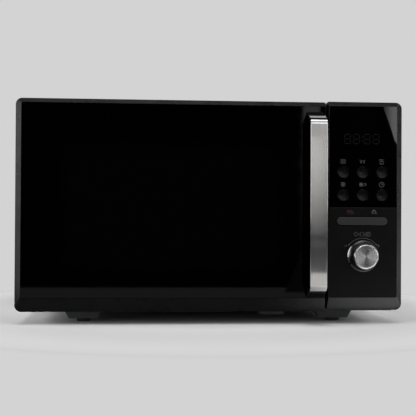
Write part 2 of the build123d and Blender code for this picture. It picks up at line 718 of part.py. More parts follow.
DOOR_FACE_X = (DOOR_X[0] + SIDE_BEVEL, DOOR_X[1] - RIM)
DOOR_FACE_Z = (DOOR_Z[0] + FOOT_BEVEL + 1.0, DOOR_Z[1] - TOP_BEVEL)
HINGE_BASE_X = (-236.5, -222.0)
TONGUE_Z = ((20.0, 22.0), (DOOR_Z[1] - 6.0, DOOR_Z[1] - 4.0))
DOOR_INSIDE_X = (DOOR_X[0] + RAIL, DOOR_X[1] - MOULD)
DOOR_INSIDE_Z = grow(DOOR_Z, -MOULD)


def door_frame():
    """Moulded door frame: bevelled outside, hinge rail at the left, open at the back."""
    frame = bevelled_casing(
        DOOR_X, DOOR_Z, DOOR_FACE_X, DOOR_FACE_Z, [8, 1.5, 2.5, 8], [2.5, 0.8, 0.8, 2.5], DOOR_BACK_Y
    )
    heel = block((DOOR_X[0] - 1, DOOR_X[0] + 7.5), (DOOR_BACK_Y - 7.5, DOOR_BACK_Y + 1), grow(DOOR_Z, 1))
    heel -= rod((DOOR_X[0] + 7.5, DOOR_BACK_Y - 7.5, 0), "Z", HEIGHT, 7.5)
    frame -= heel
    frame -= block(DOOR_INSIDE_X, (WALL_Y, DOOR_BACK_Y + 1), DOOR_INSIDE_Z)
    frame -= rounded_slab(DOOR_FACE_X, (FACE_Y - 1, PANE_Y), DOOR_FACE_Z, 1.6)
    frame -= block(grow(WINDOW_X, 8), (PANE_Y - 1, WALL_Y + 1), grow(WINDOW_Z, 6))
    notch = (DOOR_X[0] - 1, DOOR_INSIDE_X[0] + 1), (HINGE[1] - 10, DOOR_BACK_Y + 1)
    for tongue in TONGUE_Z:
        frame -= block(*notch, grow(tongue, 0.6))
    frame -= rod((*HINGE, TONGUE_Z[0][1]), "Z", 10, PIN_R + 0.06)
    return frame - rod((*HINGE, TONGUE_Z[1][0]), "Z", -10, PIN_R + 0.06)


def hinge_plates():
    """Upper and lower steel hinge brackets with their pins."""
    plates = []
    for (low, high), pin_z, pin_length in zip(TONGUE_Z, (TONGUE_Z[0][1] - 1, TONGUE_Z[1][0] + 1), (9, -9)):
        tongue = block((HINGE[0] - 5.3, HINGE[0] + 5.3), (HINGE[1], PLATE_Y), (low, high))
        tongue += rod((*HINGE, low), "Z", high - low, 5.3)
        base = block(HINGE_BASE_X, (PLATE_Y - SHEET, PLATE_Y), (low - 2.5, high + 2.5))
        plates.append(tongue + base + rod((*HINGE, pin_z), "Z", pin_length, PIN_R))
    return plates


def door_glass():
    """Black front glass."""
    return rounded_slab(grow(DOOR_FACE_X, -0.2), (FACE_Y, PANE_Y), grow(DOOR_FACE_Z, -0.2), 1.4)


PAN_X = grow(DOOR_INSIDE_X, -2)
PAN_Z = grow(DOOR_INSIDE_Z, -3)
PAN_Y = (WALL_Y, WALL_Y + 0.8)


def door_pan():
    """Steel door pan: the screened window and the folded choke wall around it."""
    pan = block(PAN_X, PAN_Y, PAN_Z)
    wall = block(PAN_X, (PAN_Y[1], -167.5), PAN_Z) - block(grow(PAN_X, -0.8), (-200, -160), grow(PAN_Z, -0.8))
    return pan + wall


def choke_cover():
    """Moulded ring over the choke, with openings for the latch hooks."""
    y = (-167, DOOR_BACK_Y)
    ring = block(grow(DOOR_INSIDE_X, -0.5), y, grow(DOOR_INSIDE_Z, -0.5))
    ring -= rounded_slab(WINDOW_X, grow(y, 1), WINDOW_Z, 8)
    for z in LATCH_Z:
        ring -= block((LATCH_X - 6, LATCH_X + 6), grow(y, 1), (z - 10, z + 11))
    return ring


def inner_window():
    """Clear sheet in the choke ring's window."""
    return rounded_slab(grow(WINDOW_X, -0.2), (-165.5, -164), grow(WINDOW_Z, -0.2), 7.8)


def door_latch():
    """Sprung latch bar inside the door, with two hooks that reach through the front plate."""
    latch = block((LATCH_X - 5, LATCH_X + 5), (-184, -172), (LATCH_Z[0] - 8, LATCH_Z[1] + 8))
    for z in LATCH_Z:
        latch += block((LATCH_X - 3, LATCH_X + 3), (-173, -138), (z - 4, z + 4))
        latch += block((LATCH_X - 3, LATCH_X + 3), (-144, -138), (z - 8, z))
    return latch


def handle_section(inset, thickness):
    """Side view of the handle: a bowed grip and two slanted legs, as an arched band."""
    low, high = HANDLE_Z
    middle = (low + high) / 2

    def arch(offset):
        face_y = HANDLE_Y + HANDLE_BOW + offset
        foot = HANDLE_SPREAD - 1.1 * offset
        top, bottom = (face_y, high - 0.7 * offset), (face_y, low + 0.7 * offset)
        grip = ThreePointArc(bottom, (face_y - HANDLE_BOW, middle), top)
        upper = Line(top, (FACE_Y, high + foot))
        base = Line((FACE_Y, high + foot), (FACE_Y, low - foot))
        lower = Line((FACE_Y, low - foot), bottom)
        shape = make_face([grip, upper, base, lower])
        bends = shape.vertices().group_by(Axis.X)[0]
        return fillet(bends, 9 - offset)

    return arch(inset) - arch(inset + thickness)


def handle_piece(inset, thickness, side):
    """A layer of the handle, as wide as the handle less side at each edge."""
    x = grow(HANDLE_X, -side)
    band = Plane.YZ.offset(x[0]) * handle_section(inset, thickness)
    return extrude(band, x[1] - x[0])


def handle_bar():
    """Brushed steel strip of the handle."""
    return handle_piece(0, 1.6, 0)


def handle_core():
    """Black moulded core behind the steel strip."""
    return handle_piece(1.6, 5.0, 0.8)


NODES = {
    "cabinet_wrap": cabinet_wrap,
    "base_plate": base_plate,
    "rubber_feet": rubber_feet,
    "rear_panel": rear_panel,
    "convection_cover": convection_cover,
    "cord_gland": cord_gland,
    "cabinet_screws": cabinet_screws,
    "front_plate": front_plate,
    "oven_cavity": oven_cavity,
    "waveguide_cover": waveguide_cover,
    "waveguide": waveguide,
    "magnetron": magnetron,
    "oven_lamp": oven_lamp,
    "grill_element": grill_element,
    "convection_housing": convection_housing,
    "convection_heater": convection_heater,
    "convection_motor": convection_motor,
    "convection_fan": convection_fan,
    "turntable_motor": turntable_motor,
    "turntable_coupler": turntable_coupler,
    "glass_tray": glass_tray,
    "roller_ring": roller_ring,
    "transformer_core": transformer_core,
    "transformer_windings": transformer_windings,
    "capacitor": capacitor,
    "cooling_fan_shroud": cooling_fan_shroud,
    "cooling_fan_motor": cooling_fan_motor,
    "cooling_fan_blades": cooling_fan_blades,
    "noise_filter": noise_filter,
    "thermal_cutouts": thermal_cutouts,
    "latch_board": latch_board,
    "microswitches": microswitches,
    "control_housing": control_housing,
    "display_lens": display_lens,
    "lower_fascia": lower_fascia,
    "rocker_button": rocker,
    "display_module": display_module,
    "control_board": control_board,
    "encoder_body": encoder_body,
    "encoder_shaft": encoder_shaft,
    "knob_skirt": knob_skirt,
    "knob_cap": knob_cap,
    "door_frame": door_frame,
    "hinge_plates": hinge_plates,
    "door_glass": door_glass,
    "door_pan": door_pan,
    "choke_cover": choke_cover,
    "inner_window": inner_window,
    "door_latch": door_latch,
    "handle_bar": handle_bar,
    "handle_core": handle_core,
}


def write(name, shape):
    """Write one node; a list of solids becomes one compound."""
    if isinstance(shape, list):
        shape = Compound(children=shape)
    export_step(shape, f"parts/{name}.step")


os.makedirs("parts", exist_ok=True)
for name, make in NODES.items():
    write(name, make())
for number, angle in enumerate((90, 210, 330), 1):
    write(f"roller_{number}", wheel(angle))
for number, (x, z) in enumerate(button_places(), 1):
    write(f"button_{number}", button(x, z))
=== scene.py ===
"""Looks of a countertop convection microwave oven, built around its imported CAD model."""
import json
import math

import bmesh
import bpy
from mathutils import Matrix, Vector


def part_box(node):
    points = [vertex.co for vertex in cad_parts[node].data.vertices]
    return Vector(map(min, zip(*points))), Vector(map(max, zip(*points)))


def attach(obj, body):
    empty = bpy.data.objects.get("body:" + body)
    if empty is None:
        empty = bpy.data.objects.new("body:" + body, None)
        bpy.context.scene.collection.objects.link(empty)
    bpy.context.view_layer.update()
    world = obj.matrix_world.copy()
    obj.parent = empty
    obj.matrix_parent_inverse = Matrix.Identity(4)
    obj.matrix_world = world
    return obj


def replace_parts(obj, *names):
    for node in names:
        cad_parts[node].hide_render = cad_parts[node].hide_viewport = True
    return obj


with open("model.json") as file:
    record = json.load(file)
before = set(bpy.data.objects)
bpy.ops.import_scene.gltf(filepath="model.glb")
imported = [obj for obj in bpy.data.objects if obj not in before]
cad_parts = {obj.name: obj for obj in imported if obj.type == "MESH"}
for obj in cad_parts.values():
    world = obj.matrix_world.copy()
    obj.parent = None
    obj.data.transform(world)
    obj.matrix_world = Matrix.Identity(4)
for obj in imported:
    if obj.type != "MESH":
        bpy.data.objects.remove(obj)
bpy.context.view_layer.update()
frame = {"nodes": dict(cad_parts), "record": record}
NODES = frame["nodes"]
MM = 0.001


def span(node, axis):
    """Lowest and highest coordinate of a CAD node along one axis."""
    low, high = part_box(node)
    return low["xyz".index(axis)], high["xyz".index(axis)]


def middle(node):
    """Centre of a CAD node's box."""
    low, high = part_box(node)
    return (low + high) / 2


FACE_Y = span("door_glass", "y")[0]
KNOB = middle("knob_cap")
OVEN = middle("oven_cavity")
WINDOW_HALF = (132.7 * MM, 73.7 * MM)
WINDOW_Z = OVEN.z - 1.5 * MM
WINDOW_FADE = 12 * MM  # how softly the print thins out round the window

# ---------------------------------------------------------------- material recipes


class Recipe:
    """One node material: a Principled shader with patterns in the object's own coordinates."""

    def __init__(self, name, **constants):
        self.material = bpy.data.materials.new(name)
        self.material.use_nodes = True
        self.tree = self.material.node_tree
        self.shader = self.tree.nodes["Principled BSDF"]
        self.place = self.add("ShaderNodeTexCoord").outputs["Object"]
        self.set(**constants)

    def add(self, kind, **settings):
        node = self.tree.nodes.new(kind)
        for key, value in settings.items():
            setattr(node, key, value)
        return node

    def join(self, source, target):
        self.tree.links.new(source, target)

    def set(self, **constants):
        """Constants on the shader's own sockets; underscores stand for spaces."""
        for key, value in constants.items():
            socket = self.shader.inputs[key.replace("_", " ")]
            socket.default_value = (*value, 1.0) if isinstance(value, tuple) else value

    def stretched(self, stretch):
        mapping = self.add("ShaderNodeMapping")
        self.join(self.place, mapping.inputs["Vector"])
        mapping.inputs["Scale"].default_value = stretch
        return mapping.outputs["Vector"]

    def noise(self, scale, detail=3.0, rough=0.55, stretch=(1, 1, 1)):
        node = self.add("ShaderNodeTexNoise")
        self.join(self.stretched(stretch), node.inputs["Vector"])
        node.inputs["Scale"].default_value = scale
        node.inputs["Detail"].default_value = detail
        node.inputs["Roughness"].default_value = rough
        return node.outputs["Fac"]

    def cells(self, scale, output="Distance"):
        node = self.add("ShaderNodeTexVoronoi")
        self.join(self.place, node.inputs["Vector"])
        node.inputs["Scale"].default_value = scale
        return node.outputs[output]

    def between(self, factor, low, high, start=0.3, end=0.7):
        """A factor's range start..end mapped to low..high."""
        node = self.add("ShaderNodeMapRange")
        self.join(factor, node.inputs["Value"])
        for key, value in (("From Min", start), ("From Max", end), ("To Min", low), ("To Max", high)):
            node.inputs[key].default_value = value
        return node.outputs["Result"]

    def colours(self, factor, *stops):
        """A colour ramp; each stop is a position and a colour."""
        node = self.add("ShaderNodeValToRGB")
        self.join(factor, node.inputs["Fac"])
        while len(node.color_ramp.elements) < len(stops):
            node.color_ramp.elements.new(0.5)
        for element, (position, colour) in zip(node.color_ramp.elements, stops):
            element.position = position
            element.color = (*colour, 1.0)
        return node.outputs["Color"]

    def tint(self, factor, dark, light):
        self.join(self.colours(factor, (0.35, dark), (0.65, light)), self.shader.inputs["Base Color"])
        return self

    def gloss(self, factor, low, high):
        self.join(self.between(factor, low, high), self.shader.inputs["Roughness"])
        return self

    def relief(self, height, depth_mm, strength=1.0):
        node = self.add("ShaderNodeBump")
        self.join(height, node.inputs["Height"])
        node.inputs["Strength"].default_value = strength
        node.inputs["Distance"].default_value = depth_mm * MM
        self.join(node.outputs["Normal"], self.shader.inputs["Normal"])
        return self


def grey(value, warm=0.0):
    """A near-neutral colour; warm above 0 leans to yellow and below 0 to blue."""
    return (value * (1 + warm), value, value * (1 - warm))


def moulded(name, dark, light, low, high, grain_mm=0.5, depth_mm=0.01, **constants):
    """Injection-moulded plastic: fine spark-eroded grain and faint handling marks."""
    recipe = Recipe(name, **constants)
    marks = recipe.noise(26, 4)
    recipe.tint(marks, dark, light).gloss(recipe.noise(60, 5), low, high)
    return recipe.relief(recipe.noise(1 / (grain_mm * MM), 2), depth_mm).material


def painted(name, dark, light, low, high, depth_mm=0.02, **constants):
    """Baked paint or powder coat: orange peel, with fine dust in the gloss."""
    recipe = Recipe(name, **constants)
    recipe.tint(recipe.noise(420, 5, 0.7), dark, light).gloss(recipe.noise(90, 5), low, high)
    return recipe.relief(recipe.noise(700, 2), depth_mm).material


def brushed(name, dark, light, low, high, stretch, depth_mm=0.006, **constants):
    """Metal with fine parallel scratches; stretch is small along the brushing."""
    recipe = Recipe(name, Metallic=1.0, **constants)
    scratches = recipe.noise(1.0, 6, 0.75, stretch)
    recipe.tint(scratches, dark, light).gloss(scratches, low, high)
    return recipe.relief(scratches, depth_mm).material


def spangled(name, dark, light, low, high):
    """Zinc-plated sheet with a crystalline spangle."""
    recipe = Recipe(name, Metallic=1.0)
    recipe.tint(recipe.cells(230, "Color"), dark, light).gloss(recipe.noise(45, 4), low, high)
    return recipe.relief(recipe.noise(300, 3), 0.006).material


def radial_metal():
    """Spun aluminium disc: concentric turning marks and a fan-shaped shine."""
    recipe = Recipe("spun_aluminium", Metallic=1.0, Anisotropic=0.85)
    tangent = recipe.add("ShaderNodeTangent", direction_type="RADIAL", axis="Y")
    recipe.join(tangent.outputs["Tangent"], recipe.shader.inputs["Tangent"])
    rings = recipe.add("ShaderNodeTexWave", wave_type="RINGS", rings_direction="Y")
    centred = recipe.add("ShaderNodeMapping")
    recipe.join(recipe.place, centred.inputs["Vector"])
    centred.inputs["Location"].default_value = -KNOB
    recipe.join(centred.outputs["Vector"], rings.inputs["Vector"])
    rings.inputs["Scale"].default_value = 900
    rings.inputs["Distortion"].default_value = 1.5
    recipe.tint(rings.outputs["Fac"], grey(0.82), grey(0.86)).gloss(rings.outputs["Fac"], 0.19, 0.21)
    return recipe.relief(rings.outputs["Fac"], 0.0004).material


def handle_steel():
    """Brushed stainless steel: scratches run up the handle, so its shine spreads sideways."""
    recipe = Recipe("brushed_handle", Metallic=1.0, Anisotropic=0.85)
    tangent = recipe.add("ShaderNodeTangent", direction_type="UV_MAP", uv_map="across")
    recipe.join(tangent.outputs["Tangent"], recipe.shader.inputs["Tangent"])
    scratches = recipe.noise(1.0, 5, 0.7, (1500, 1500, 7))
    recipe.tint(scratches, grey(0.58, 0.012), grey(0.70, 0.012)).gloss(scratches, 0.09, 0.12)
    return recipe.relief(scratches, 0.002).material


def black_glass():
    """Tempered glass with black print behind it, thinner over the window; faint wiping marks."""
    recipe = Recipe("black_glass", Specular_IOR_Level=0.15)
    split = recipe.add("ShaderNodeSeparateXYZ")
    recipe.join(recipe.place, split.inputs["Vector"])
    inside = []
    for axis, centre, half in (("X", OVEN.x, WINDOW_HALF[0]), ("Z", WINDOW_Z, WINDOW_HALF[1])):
        offset = recipe.add("ShaderNodeMath", operation="SUBTRACT")
        recipe.join(split.outputs[axis], offset.inputs[0])
        offset.inputs[1].default_value = centre
        distance = recipe.add("ShaderNodeMath", operation="ABSOLUTE")
        recipe.join(offset.outputs["Value"], distance.inputs[0])
        edge = (half + WINDOW_FADE, half - WINDOW_FADE)
        inside.append(recipe.between(distance.outputs["Value"], 0.0, 1.0, *edge))
    both = recipe.add("ShaderNodeMath", operation="MULTIPLY")
    for factor, target in zip(inside, both.inputs):
        recipe.join(factor, target)
    tone = recipe.colours(both.outputs["Value"], (0.0, grey(0.0002)), (1.0, grey(0.0009)))
    recipe.join(tone, recipe.shader.inputs["Base Color"])
    return recipe.gloss(recipe.noise(30, 6, 0.7, (1, 1, 3)), 0.02, 0.05).material


def clear(name, colour, alpha, rough=0.06):
    """Thin clear sheet or tempered glass, seen through by its alpha."""
    recipe = Recipe(name, Alpha=alpha, Specular_IOR_Level=0.5)
    recipe.tint(recipe.noise(20, 4), tuple(0.92 * c for c in colour), colour)
    return recipe.gloss(recipe.noise(35, 5), rough, rough + 0.05).material


def copper_wire():
    """Varnished windings: the wire's turns as fine ribs round the coil."""
    recipe = Recipe("copper_windings", Metallic=0.9)
    ribs = recipe.add("ShaderNodeTexWave", wave_type="BANDS", bands_direction="Z")
    recipe.join(recipe.place, ribs.inputs["Vector"])
    ribs.inputs["Scale"].default_value = 260
    recipe.tint(ribs.outputs["Fac"], (0.16, 0.05, 0.02), (0.55, 0.22, 0.09))
    recipe.gloss(recipe.noise(80), 0.3, 0.45)
    return recipe.relief(ribs.outputs["Fac"], 0.2).material


def laminated(name):
    """Varnished steel laminations, stacked along X."""
    recipe = Recipe(name, Metallic=0.7)
    layers = recipe.add("ShaderNodeTexWave", wave_type="BANDS", bands_direction="X")
    recipe.join(recipe.place, layers.inputs["Vector"])
    layers.inputs["Scale"].default_value = 320
    recipe.tint(layers.outputs["Fac"], grey(0.03), grey(0.12, 0.1)).gloss(recipe.noise(60), 0.4, 0.6)
    return recipe.relief(layers.outputs["Fac"], 0.1).material


def circuit(name):
    """Green solder mask with faint copper tracks."""
    recipe = Recipe(name)
    recipe.tint(recipe.cells(240, "Color"), (0.02, 0.09, 0.04), (0.05, 0.16, 0.07))
    recipe.gloss(recipe.noise(200), 0.25, 0.45)
    return recipe.relief(recipe.cells(240), 0.05).material


MATERIALS = {
    "black_paint": painted("black_powder_coat", grey(0.008), grey(0.011), 0.42, 0.47),
    "plated_steel": spangled("zinc_plated_sheet", grey(0.29, -0.02), grey(0.335, -0.02), 0.38, 0.46),
    "rubber": moulded("rubber", grey(0.010), grey(0.016), 0.7, 0.85, 0.4, 0.03),
    "screw_steel": brushed("bright_zinc", grey(0.42), grey(0.58), 0.22, 0.38, (700, 700, 700)),
    "oven_enamel": painted("grey_enamel", grey(0.20, -0.01), grey(0.27, -0.01), 0.30, 0.42, 0.012),
    "mica": moulded("mica_sheet", (0.40, 0.33, 0.22), (0.55, 0.47, 0.34), 0.5, 0.7, 1.2, 0.03),
    "white_plastic": moulded("natural_plastic", grey(0.55, 0.03), grey(0.62, 0.03), 0.38, 0.5),
    "heater_steel": brushed("heater_sheath", grey(0.10, 0.06), grey(0.22, 0.08), 0.32, 0.5, (90, 90, 90)),
    "motor_steel": spangled("motor_steel", grey(0.19), grey(0.23), 0.36, 0.46),
    "clear_glass": clear("tray_glass", (0.80, 0.90, 0.88), 0.32),
    "core_steel": laminated("core_laminations"),
    "copper": copper_wire(),
    "aluminium": brushed("drawn_aluminium", grey(0.55), grey(0.68), 0.28, 0.4, (60, 4, 60)),
    "circuit_board": circuit("circuit_board"),
    "black_moulding": moulded("black_moulding", grey(0.004), grey(0.006), 0.24, 0.34, 0.6, 0.004),
    "gloss_lens": moulded("gloss_lens", grey(0.0003), grey(0.0006), 0.008, 0.02, 4.0, 0.0),
    "matt_black": moulded(
        "matt_black", grey(0.0012), grey(0.0018), 0.34, 0.42, 0.35, 0.012, Specular_IOR_Level=0.11
    ),
    "grey_button": moulded(
        "grey_key", grey(0.015), grey(0.018), 0.38, 0.5, 0.35, 0.008, Specular_IOR_Level=0.3
    ),
    "gloss_button": moulded(
        "gloss_key", grey(0.002), grey(0.003), 0.17, 0.20, 2.0, 0.0, Specular_IOR_Level=0.2
    ),
    "chrome": brushed("chrome_plate", grey(0.80), grey(0.86), 0.05, 0.09, (40, 40, 40), 0.0),
    "spun_aluminium": radial_metal(),
    "black_glass": black_glass(),
    "clear_film": clear("clear_film", (0.10, 0.105, 0.105), 0.14, 0.12),
    "brushed_steel": handle_steel(),
}
BASE_PAINT = painted("charcoal_primer", grey(0.075, -0.04), grey(0.090, -0.04), 0.45, 0.55)
PAN_ENAMEL = painted("charcoal_enamel", grey(0.05), grey(0.065), 0.28, 0.38, 0.012)
SLOT_OF = {row["node"]: row["material_slot"] for row in frame["record"]["subparts"]}

for node_name, node_object in NODES.items():
    coat = BASE_PAINT if node_name == "base_plate" else MATERIALS[SLOT_OF[node_name]]
    node_object.data.materials.clear()
    node_object.data.materials.append(coat)

# ---------------------------------------------------------------- mesh helpers


def body_of(node):
    """The body that a CAD node belongs to."""
    bodies = frame["record"]["behaviour"]["bodies"]
    return next(body for body, members in bodies.items() if node in members)


def placed(name, mesh, body, slot_name, material=None):
    """A finished piece on its body, with the given material, else the material of its slot."""
    piece = bpy.data.objects.new(name, mesh)
    bpy.context.scene.collection.objects.link(piece)
    mesh.materials.clear()
    mesh.materials.append(material or MATERIALS[slot_name])
    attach(piece, body)
    return piece


def from_bmesh(name, bm):
    mesh = bpy.data.meshes.new(name)
    bm.to_mesh(mesh)
    bm.free()
    return mesh


def clean_copy(node):
    """A node's surface with its triangles joined back into flat faces."""
    source = NODES[node].data
    bm = bmesh.new()
    for vertex in source.vertices:
        bm.verts.new(vertex.co)
    bm.verts.ensure_lookup_table()
    for polygon in source.polygons:
        try:
            bm.faces.new([bm.verts[i] for i in polygon.vertices])
        except ValueError:
            continue
    bmesh.ops.remove_doubles(bm, verts=bm.verts, dist=2e-6)
    bmesh.ops.dissolve_limit(bm, angle_limit=math.radians(0.4), verts=bm.verts, edges=bm.edges)
    return bm


def unwrap_across(mesh):
    """A map whose first direction runs across the handle, for the brushed shine."""
    layer = mesh.uv_layers.new(name="across")
    for loop, item in zip(mesh.loops, layer.data):
        point = mesh.vertices[loop.vertex_index].co
        item.uv = (point.x, point.z - point.y)


def softened(node, width_mm, segments=2, angle=32, material=None):
    """Stands for a CAD node: the same shape with its sharp edges rounded."""
    mesh = from_bmesh(node + "_soft", clean_copy(node))
    for polygon in mesh.polygons:
        polygon.use_smooth = True
    if SLOT_OF[node] == "brushed_steel":
        unwrap_across(mesh)
    piece = placed(node + "_shell", mesh, body_of(node), SLOT_OF[node], material)
    bevel = piece.modifiers.new("edges", "BEVEL")
    bevel.width = width_mm * MM
    bevel.segments = segments
    bevel.limit_method = "ANGLE"
    bevel.angle_limit = math.radians(angle)
    bevel.harden_normals = True
    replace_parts(piece, node)
    return piece


# ---------------------------------------------------------------- front pieces

for front_node, edge_mm in (
    ("door_frame", 0.7), ("control_housing", 0.7), ("door_glass", 0.35), ("display_lens", 0.3),
    ("lower_fascia", 0.3), ("handle_bar", 0.5), ("handle_core", 0.6), ("rocker_button", 0.25),
    ("choke_cover", 0.8), ("door_latch", 0.5), ("cabinet_wrap", 0.25), ("latch_board", 0.5),
    ("knob_skirt", 0.9),
):
    softened(front_node, edge_mm)

# ---------------------------------------------------------------- printed symbols

PRINT_MM = 0.45  # stroke width of the printed symbols


def strokes(name, lines, width_mm, face_y, material, body="cabinet", slot_name="white_plastic"):
    """Raised print: each line is a list of (x, z) points in metres, drawn as a flattened bead."""
    curve = bpy.data.curves.new(name, "CURVE")
    curve.dimensions = "3D"
    curve.bevel_depth = width_mm / 2 * MM
    curve.bevel_resolution = 1
    curve.use_fill_caps = True
    for line in lines:
        spline = curve.splines.new("POLY")
        spline.points.add(len(line) - 1)
        for point, (x, z) in zip(spline.points, line):
            point.co = (x, 0, z, 1)
    carrier = bpy.data.objects.new(name + "_curve", curve)
    mesh = bpy.data.meshes.new_from_object(carrier)
    bpy.data.objects.remove(carrier)
    for vertex in mesh.vertices:
        vertex.co.y = face_y + 0.12 * vertex.co.y
    mesh.name = name
    return placed(name, mesh, body, slot_name, material)


def shifted(points, centre, scale=1.0):
    """Points given in millimetres, moved to a centre that is in metres."""
    return [(centre[0] + scale * x * MM, centre[1] + scale * z * MM) for x, z in points]


def arc(centre, radius, start, end, steps=16, squash=1.0):
    """Points in millimetres on an arc, in degrees anticlockwise from the right."""
    angles = [math.radians(start + (end - start) * i / steps) for i in range(steps + 1)]
    return [(centre[0] + radius * math.cos(a), centre[1] + squash * radius * math.sin(a)) for a in angles]


def wave(height, width=6.0, steps=14):
    """One wavy line across a symbol."""
    points = []
    for i in range(steps + 1):
        swing = 0.45 * math.sin(4 * math.pi * i / steps)
        points.append((width * (i / steps - 0.5), height + swing))
    return points


def fan(centre=(0, 0), size=1.0):
    """Four petals round a hub."""
    petals = []
    for turn in (45, 135, 225, 315):
        x = centre[0] + size * 1.5 * math.cos(math.radians(turn))
        z = centre[1] + size * 1.5 * math.sin(math.radians(turn))
        petals.append(arc((x, z), 1.15 * size, turn, turn + 360, 12))
    return petals


ZIGZAG = [
    (-3.1, 1.9), (-2.5, 1.9), (-2.1, -1.5), (-1.4, -1.5), (-0.4, 1.5),
    (0.5, 1.5), (1.3, -1.5), (2.1, -1.5), (2.5, 1.9),
]
KEY_SYMBOLS = (
    [wave(1.8), wave(0), wave(-1.8)],
    [ZIGZAG, [(2.5, 1.9), (3.1, 1.9)]],
    [[(-2.9, 2.2), (2.9, 2.2)], wave(0.4, 4.6), [(-2.2, -0.9), (-1.5, -2.4), (1.5, -2.4), (2.2, -0.9)]],
    fan(),
    [*fan((-1.2, 0), 0.8), arc((1.5, 0), 1.7, -75, 75), arc((2.5, 0), 1.7, -60, 60)],
    [arc((0, 0), 2.7, 0, 360, 24), [(0, 1.7), (0, 0), (1.3, 0)]],
)
KEY_NAMES = [f"button_{number}" for number in (4, 5, 6, 1, 2, 3)]  # upper row, then lower row

PRINT_WHITE = moulded("print_white", grey(0.085), grey(0.11), 0.45, 0.6)
PRINT_RED = moulded("print_red", (0.085, 0.005, 0.006), (0.11, 0.007, 0.008), 0.45, 0.6)
PRINT_PALE = moulded("print_pale", (0.10, 0.13, 0.15), (0.13, 0.17, 0.19), 0.45, 0.6)
SEGMENT = moulded(
    "display_segment", (0.0042, 0.003, 0.0024), (0.0055, 0.004, 0.003),
    0.4, 0.5, Specular_IOR_Level=0.1
)

SYMBOL_X, SYMBOL_Z, SYMBOL_SCALE = -0.4 * MM, 13.3 * MM, 1.15  # from the key's middle
symbol_lines = []
for key_name, symbol in zip(KEY_NAMES, KEY_SYMBOLS):
    key = middle(key_name)
    for line in symbol:
        symbol_lines.append(shifted(line, (key.x + SYMBOL_X, key.z + SYMBOL_Z), SYMBOL_SCALE))
strokes("key_symbols", symbol_lines, PRINT_MM, FACE_Y, PRINT_WHITE)

mode_row = [
    [(-10.9, 0), (-8.1, 2.7), (-5.3, 0), (-8.1, -2.7), (-10.9, 0)],
    [(-5.0, 0), (-3.3, 0)],
    arc((-0.7, 0), 2.2, 100, 260, 10, 1.15),
    arc((0.0, 0), 2.2, -80, 80, 10, 1.15),
    [(2.6, 0), (4.1, 0)],
    [(4.9, -2.4), (4.9, 2.4), (10.0, 2.4), (10.0, -2.4), (4.9, -2.4)],
    [(6.1, -1.1), (8.7, 1.1), (6.1, 1.1)],
]
dial_marks = [arc((0, 0), 22.6, 38, 142, 30)]
dial_marks += [[(-23.6, 12.9), (-20.2, 12.9)], [(18.8, 13), (22.2, 13)], [(20.5, 11.3), (20.5, 14.7)]]
knob_centre = (KNOB.x, KNOB.z)
row_centre = (KNOB.x - 0.6 * MM, KNOB.z + 27.7 * MM)
strokes("mode_symbols", [shifted(line, row_centre) for line in mode_row], 0.45, FACE_Y, PRINT_WHITE)
strokes("dial_marks", [shifted(line, knob_centre) for line in dial_marks], 0.42, FACE_Y, PRINT_WHITE)
end_dots = [shifted(arc((22.6 * c, 14.0), 0.45, 0, 360, 10), knob_centre) for c in (-0.79, 0.79)]
strokes("dial_dots", end_dots, 0.7, FACE_Y, PRINT_WHITE)

pill = middle("rocker_button")
stop_place = (pill.x - 15.5 * MM, pill.z + 11.6 * MM)
begin_place = (pill.x + 15.4 * MM, pill.z + 11.6 * MM)
stop_symbol = [
    [(-3.4, 1.8), (2.0, 1.8), (2.0, -1.4), (-3.4, -1.4), (-3.4, 1.8)],
    arc((2.6, -0.6), 1.5, -120, 90, 12),
    [(-2.2, 0.2), (0.8, 0.2)],
]
begin_symbol = [
    arc((-0.4, 0.2), 2.3, -30, 210, 16),
    [(-0.4, 2.2), (-0.4, 0)],
    [(1.0, -1.6), (3.6, -1.6)],
    [(-2.6, -1.6), (-0.4, -1.6)],
]
strokes("stop_symbol", [shifted(line, stop_place) for line in stop_symbol], 0.42, FACE_Y, PRINT_RED)
strokes("begin_symbol", [shifted(line, begin_place) for line in begin_symbol], 0.5, FACE_Y, PRINT_PALE)

# Unlit display: four seven-segment digits and a colon
display = middle("display_module")
DIGIT_W, DIGIT_H = 7.6, 12.0
DIGIT_GAP = 0.9  # from a corner of the digit to the segment's end
SEGMENT_ENDS = (  # x 0 is a digit's left side and 1 its right; z runs from -1 at its foot to 1
    (0, 1, 1, 1), (0, 0, 1, 0), (0, -1, 1, -1), (0, 0, 0, 1), (1, 0, 1, 1), (0, -1, 0, 0), (1, -1, 1, 0),
)
digit_lines = []
for offset in (-18.6, -6.9, 6.6, 18.3):
    for x0, z0, x1, z1 in SEGMENT_ENDS:
        dx, dz = DIGIT_GAP * (x1 - x0), DIGIT_GAP * (z1 - z0)
        points = [
            (offset + DIGIT_W * (x0 - 0.5) + dx, DIGIT_H / 2 * z0 + dz),
            (offset + DIGIT_W * (x1 - 0.5) - dx, DIGIT_H / 2 * z1 - dz),
        ]
        digit_lines.append(shifted(points, (display.x - 0.6 * MM, display.z)))
for dot in (-2.4, 2.4):
    digit_lines.append(shifted(arc((-0.2, dot), 0.3, 0, 360, 8), (display.x, display.z)))
strokes("display_digits", digit_lines, 0.9, FACE_Y, SEGMENT)

# ---------------------------------------------------------------- door pan with its screen


